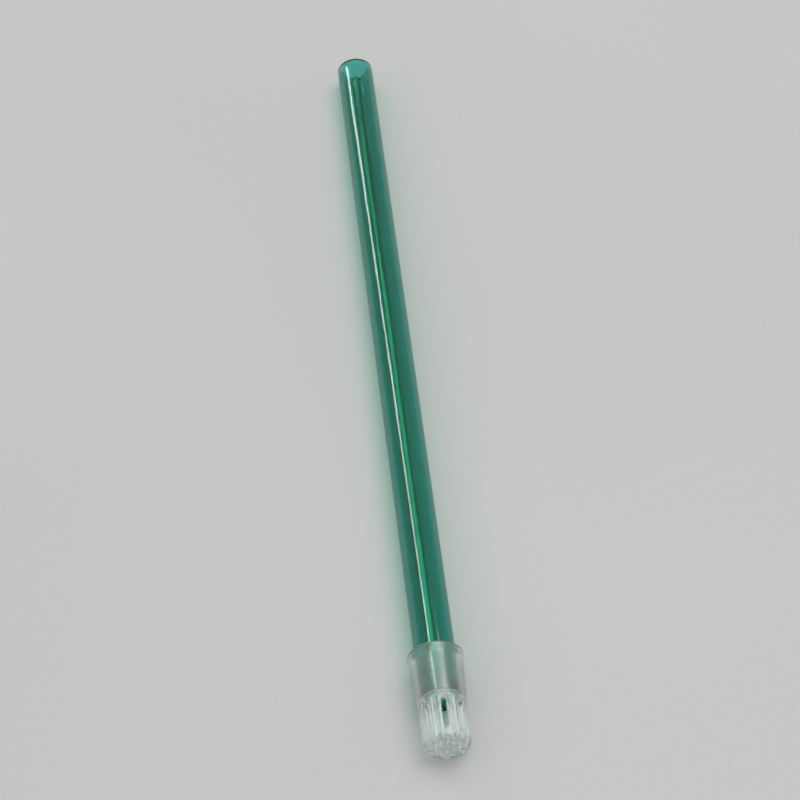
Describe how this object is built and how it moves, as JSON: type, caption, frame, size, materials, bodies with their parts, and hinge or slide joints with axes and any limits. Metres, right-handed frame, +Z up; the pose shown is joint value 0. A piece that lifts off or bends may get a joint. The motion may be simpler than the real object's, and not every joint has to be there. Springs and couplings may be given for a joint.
{
  "type": "saliva ejector tip",
  "caption": "Disposable dental suction straw: bendable green tube with a wire in its wall and a slotted, perforated clear cap.",
  "frame": {"origin": "on the table plane, under the middle of the ejector's length", "axes": "+Y along the tube, from the slotted cap towards the cut end that goes into the suction valve; +Z up; the tube's bend hinges turn about Z"},
  "size_m": [0.0088, 0.15, 0.0087],
  "materials": {
    "green_pvc": "gloss",
    "brass_wire": "satin",
    "frosted_cap": "satin"
  },
  "bodies": {
    "valve_end": {"tube_01": "green_pvc", "wire_01": "brass_wire"},
    "bend_02": {"tube_02": "green_pvc", "wire_02": "brass_wire"},
    "bend_03": {"tube_03": "green_pvc", "wire_03": "brass_wire"},
    "bend_04": {"tube_04": "green_pvc", "wire_04": "brass_wire"},
    "bend_05": {"tube_05": "green_pvc", "wire_05": "brass_wire"},
    "bend_06": {"tube_06": "green_pvc", "wire_06": "brass_wire"},
    "bend_07": {"tube_07": "green_pvc", "wire_07": "brass_wire"},
    "bend_08": {"tube_08": "green_pvc", "wire_08": "brass_wire"},
    "bend_09": {"tube_09": "green_pvc", "wire_09": "brass_wire"},
    "bend_10": {"tube_10": "green_pvc", "wire_10": "brass_wire"},
    "bend_11": {"tube_11": "green_pvc", "wire_11": "brass_wire"},
    "bend_12": {"tube_12": "green_pvc", "wire_12": "brass_wire"},
    "bend_13": {"tube_13": "green_pvc", "wire_13": "brass_wire"},
    "bend_14": {"tube_14": "green_pvc", "wire_14": "brass_wire"},
    "bend_15": {"tube_15": "green_pvc", "wire_15": "brass_wire"},
    "bend_16": {"tube_16": "green_pvc", "wire_16": "brass_wire"},
    "bend_17": {"tube_17": "green_pvc", "wire_17": "brass_wire"},
    "bend_18": {"tube_18": "green_pvc", "wire_18": "brass_wire"},
    "tip_end": {"tube_19": "green_pvc", "wire_19": "brass_wire"},
    "cap": {"tip_cap": "frosted_cap"}
  },
  "joints": [
    {"name": "tube_bend", "type": "hinge", "parent": "valve_end", "child": "bend_02", "pos_m": [0, 0.016, 0.00436], "axis": [0, 0, 1], "range_deg": [-7.5, 7.5]},
    {"name": "tube_bend_02", "type": "hinge", "parent": "bend_02", "child": "bend_03", "pos_m": [0, 0.012, 0.00436], "axis": [0, 0, 1], "range_deg": [-7.5, 7.5]},
    {"name": "tube_bend_03", "type": "hinge", "parent": "bend_03", "child": "bend_04", "pos_m": [0, 0.008, 0.00436], "axis": [0, 0, 1], "range_deg": [-7.5, 7.5]},
    {"name": "tube_bend_04", "type": "hinge", "parent": "bend_04", "child": "bend_05", "pos_m": [0, 0.004, 0.00436], "axis": [0, 0, 1], "range_deg": [-7.5, 7.5]},
    {"name": "tube_bend_05", "type": "hinge", "parent": "bend_05", "child": "bend_06", "pos_m": [0, 0, 0.00436], "axis": [0, 0, 1], "range_deg": [-7.5, 7.5]},
    {"name": "tube_bend_06", "type": "hinge", "parent": "bend_06", "child": "bend_07", "pos_m": [0, -0.004, 0.00436], "axis": [0, 0, 1], "range_deg": [-7.5, 7.5]},
    {"name": "tube_bend_07", "type": "hinge", "parent": "bend_07", "child": "bend_08", "pos_m": [0, -0.008, 0.00436], "axis": [0, 0, 1], "range_deg": [-7.5, 7.5]},
    {"name": "tube_bend_08", "type": "hinge", "parent": "bend_08", "child": "bend_09", "pos_m": [0, -0.012, 0.00436], "axis": [0, 0, 1], "range_deg": [-7.5, 7.5]},
    {"name": "tube_bend_09", "type": "hinge", "parent": "bend_09", "child": "bend_10", "pos_m": [0, -0.016, 0.00436], "axis": [0, 0, 1], "range_deg": [-7.5, 7.5]},
    {"name": "tube_bend_10", "type": "hinge", "parent": "bend_10", "child": "bend_11", "pos_m": [0, -0.02, 0.00436], "axis": [0, 0, 1], "range_deg": [-7.5, 7.5]},
    {"name": "tube_bend_11", "type": "hinge", "parent": "bend_11", "child": "bend_12", "pos_m": [0, -0.024, 0.00436], "axis": [0, 0, 1], "range_deg": [-7.5, 7.5]},
    {"name": "tube_bend_12", "type": "hinge", "parent": "bend_12", "child": "bend_13", "pos_m": [0, -0.028, 0.00436], "axis": [0, 0, 1], "range_deg": [-7.5, 7.5]},
    {"name": "tube_bend_13", "type": "hinge", "parent": "bend_13", "child": "bend_14", "pos_m": [0, -0.032, 0.00436], "axis": [0, 0, 1], "range_deg": [-7.5, 7.5]},
    {"name": "tube_bend_14", "type": "hinge", "parent": "bend_14", "child": "bend_15", "pos_m": [0, -0.036, 0.00436], "axis": [0, 0, 1], "range_deg": [-7.5, 7.5]},
    {"name": "tube_bend_15", "type": "hinge", "parent": "bend_15", "child": "bend_16", "pos_m": [0, -0.04, 0.00436], "axis": [0, 0, 1], "range_deg": [-7.5, 7.5]},
    {"name": "tube_bend_16", "type": "hinge", "parent": "bend_16", "child": "bend_17", "pos_m": [0, -0.044, 0.00436], "axis": [0, 0, 1], "range_deg": [-7.5, 7.5]},
    {"name": "tube_bend_17", "type": "hinge", "parent": "bend_17", "child": "bend_18", "pos_m": [0, -0.048, 0.00436], "axis": [0, 0, 1], "range_deg": [-7.5, 7.5]},
    {"name": "tube_bend_18", "type": "hinge", "parent": "bend_18", "child": "tip_end", "pos_m": [0, -0.052, 0.00436], "axis": [0, 0, 1], "range_deg": [-7.5, 7.5]},
    {"name": "cap_pull", "type": "slide", "parent": "tip_end", "child": "cap", "axis": [0, -1, 0], "range_m": [0, 0.012]}
  ],
  "couplings": [
    {"joint": "tube_bend_02", "follows": "tube_bend", "ratio": 1},
    {"joint": "tube_bend_03", "follows": "tube_bend", "ratio": 1},
    {"joint": "tube_bend_04", "follows": "tube_bend", "ratio": 1},
    {"joint": "tube_bend_05", "follows": "tube_bend", "ratio": 1},
    {"joint": "tube_bend_06", "follows": "tube_bend", "ratio": 1},
    {"joint": "tube_bend_07", "follows": "tube_bend", "ratio": 1},
    {"joint": "tube_bend_08", "follows": "tube_bend", "ratio": 1},
    {"joint": "tube_bend_09", "follows": "tube_bend", "ratio": 1},
    {"joint": "tube_bend_10", "follows": "tube_bend", "ratio": 1},
    {"joint": "tube_bend_11", "follows": "tube_bend", "ratio": 1},
    {"joint": "tube_bend_12", "follows": "tube_bend", "ratio": 1},
    {"joint": "tube_bend_13", "follows": "tube_bend", "ratio": 1},
    {"joint": "tube_bend_14", "follows": "tube_bend", "ratio": 1},
    {"joint": "tube_bend_15", "follows": "tube_bend", "ratio": 1},
    {"joint": "tube_bend_16", "follows": "tube_bend", "ratio": 1},
    {"joint": "tube_bend_17", "follows": "tube_bend", "ratio": 1},
    {"joint": "tube_bend_18", "follows": "tube_bend", "ratio": 1}
  ]
}
